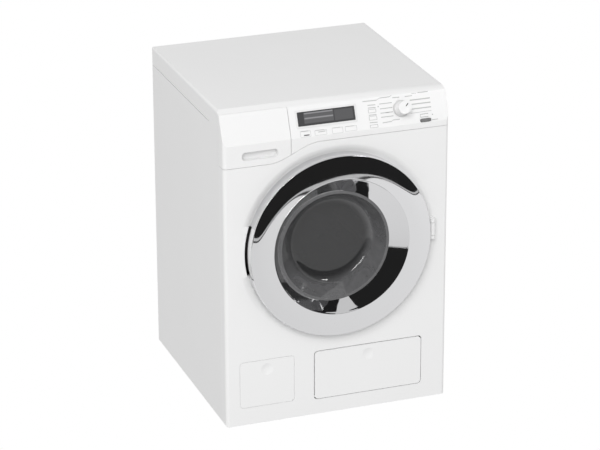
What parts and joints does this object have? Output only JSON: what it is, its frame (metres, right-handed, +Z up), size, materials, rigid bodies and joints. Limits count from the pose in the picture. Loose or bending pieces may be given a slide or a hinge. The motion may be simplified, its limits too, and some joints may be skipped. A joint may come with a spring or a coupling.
{
  "type": "toy washing machine",
  "caption": "Front-loading toy washing machine with a turning selector knob, press button, detergent drawer, swinging porthole door, battery flap and a motor-driven drum.",
  "frame": {"origin": "centre of the footprint on the ground plane, under the middle of the bounding box", "axes": "+Z up, +X to the right seen from the front, +Y to the back; the door faces -Y"},
  "size_m": [0.1864, 0.193, 0.2629],
  "materials": {
    "white_shell": "satin moulded plastic",
    "white_front": "satin moulded plastic",
    "steel": "bright",
    "rubber": "matte",
    "grey_trim": "satin",
    "light_trim": "satin",
    "smoked_window": "polished, smoked",
    "dark_plastic": "matte",
    "circuit_board": "matte",
    "grey_plastic": "matte",
    "pale_plastic": "matte",
    "tray_plastic": "satin",
    "cell_wrap": "printed wrap, left plain",
    "chrome": "mirror plating",
    "smoked_clear": "polished, see-through",
    "gasket_rubber": "matte",
    "drum_plastic": "silver painted",
    "gear_plastic": "matte",
    "brass": "bright"
  },
  "bodies": {
    "cabinet": {"housing": "white_shell", "top_cover": "white_shell", "front_panel": "white_front", "fascia": "white_front", "rear_cover": "white_shell", "rear_screws": "steel", "feet": "rubber", "display_bezel": "light_trim", "display_lens": "smoked_window", "display_module": "dark_plastic", "circuit_board": "circuit_board", "rotary_switch": "dark_plastic", "start_switch": "dark_plastic", "speaker": "dark_plastic", "drawer_guide": "pale_plastic", "flap_catch": "pale_plastic", "battery_box": "pale_plastic", "battery_cells": "cell_wrap", "battery_contacts": "steel", "door_hinge_pin": "steel", "latch_catch": "pale_plastic", "tub": "grey_plastic", "tub_gasket": "gasket_rubber", "tub_cradle": "pale_plastic", "shaft_bush": "pale_plastic", "motor": "steel", "gear_axles": "steel", "gearbox_front": "pale_plastic", "gearbox_back": "pale_plastic", "drain_pipe": "grey_plastic"},
    "door": {"door_ring": "chrome", "door_glass": "smoked_clear", "glass_retainer": "pale_plastic", "door_frame": "white_front", "door_screws": "steel", "latch_hook": "pale_plastic"},
    "drawer": {"drawer_front": "white_front", "drawer_tray": "tray_plastic"},
    "flap": {"service_flap": "white_front"},
    "selector": {"selector_knob": "white_front", "knob_shaft": "grey_plastic"},
    "start": {"start_button": "grey_trim"},
    "drum": {"drum": "drum_plastic", "drum_paddles": "pale_plastic", "drum_shaft": "steel", "drum_gear": "gear_plastic"},
    "middle": {"middle_gear": "gear_plastic"},
    "first": {"first_gear": "gear_plastic"},
    "rotor": {"motor_pinion": "brass", "motor_shaft": "steel"},
    "plug": {"drain_plug": "gasket_rubber"}
  },
  "joints": [
    {"name": "door_hinge", "type": "hinge", "parent": "cabinet", "child": "door", "pos_m": [0.079, -0.0895, 0.1492], "axis": [0, 0, 1], "range_deg": [0, 105]},
    {"name": "drawer_slide", "type": "slide", "parent": "cabinet", "child": "drawer", "axis": [0, -1, 0], "range_m": [0, 0.055]},
    {"name": "flap_hinge", "type": "hinge", "parent": "cabinet", "child": "flap", "pos_m": [0.0264, -0.0856, 0.017], "axis": [1, 0, 0], "range_deg": [0, 90]},
    {"name": "knob_turn", "type": "hinge", "parent": "cabinet", "child": "selector", "pos_m": [0.0546, -0.08147, 0.24989], "axis": [0, -0.9232, 0.3843], "continuous": true},
    {"name": "start_press", "type": "slide", "parent": "cabinet", "child": "start", "axis": [0, 0.9232, -0.3843], "range_m": [0, 0.0008], "stiffness_N_per_m": 400},
    {"name": "drum_spin", "type": "hinge", "parent": "cabinet", "child": "drum", "pos_m": [0.0005, 0.09, 0.1467], "axis": [0, 1, 0], "continuous": true},
    {"name": "middle_spin", "type": "hinge", "parent": "cabinet", "child": "middle", "pos_m": [0.01758, 0.09, 0.10833], "axis": [0, 1, 0], "continuous": true},
    {"name": "first_spin", "type": "hinge", "parent": "cabinet", "child": "first", "pos_m": [0.03108, 0.09, 0.08495], "axis": [0, 1, 0], "continuous": true},
    {"name": "motor_spin", "type": "hinge", "parent": "cabinet", "child": "rotor", "pos_m": [0.03755, 0.09, 0.0608], "axis": [0, 1, 0], "continuous": true},
    {"name": "plug_pull", "type": "slide", "parent": "cabinet", "child": "plug", "axis": [0, 1, 0], "range_m": [0, 0.01]}
  ],
  "couplings": [
    {"joint": "middle_spin", "follows": "drum_spin", "ratio": -6},
    {"joint": "first_spin", "follows": "drum_spin", "ratio": 21},
    {"joint": "motor_spin", "follows": "drum_spin", "ratio": -84}
  ]
}
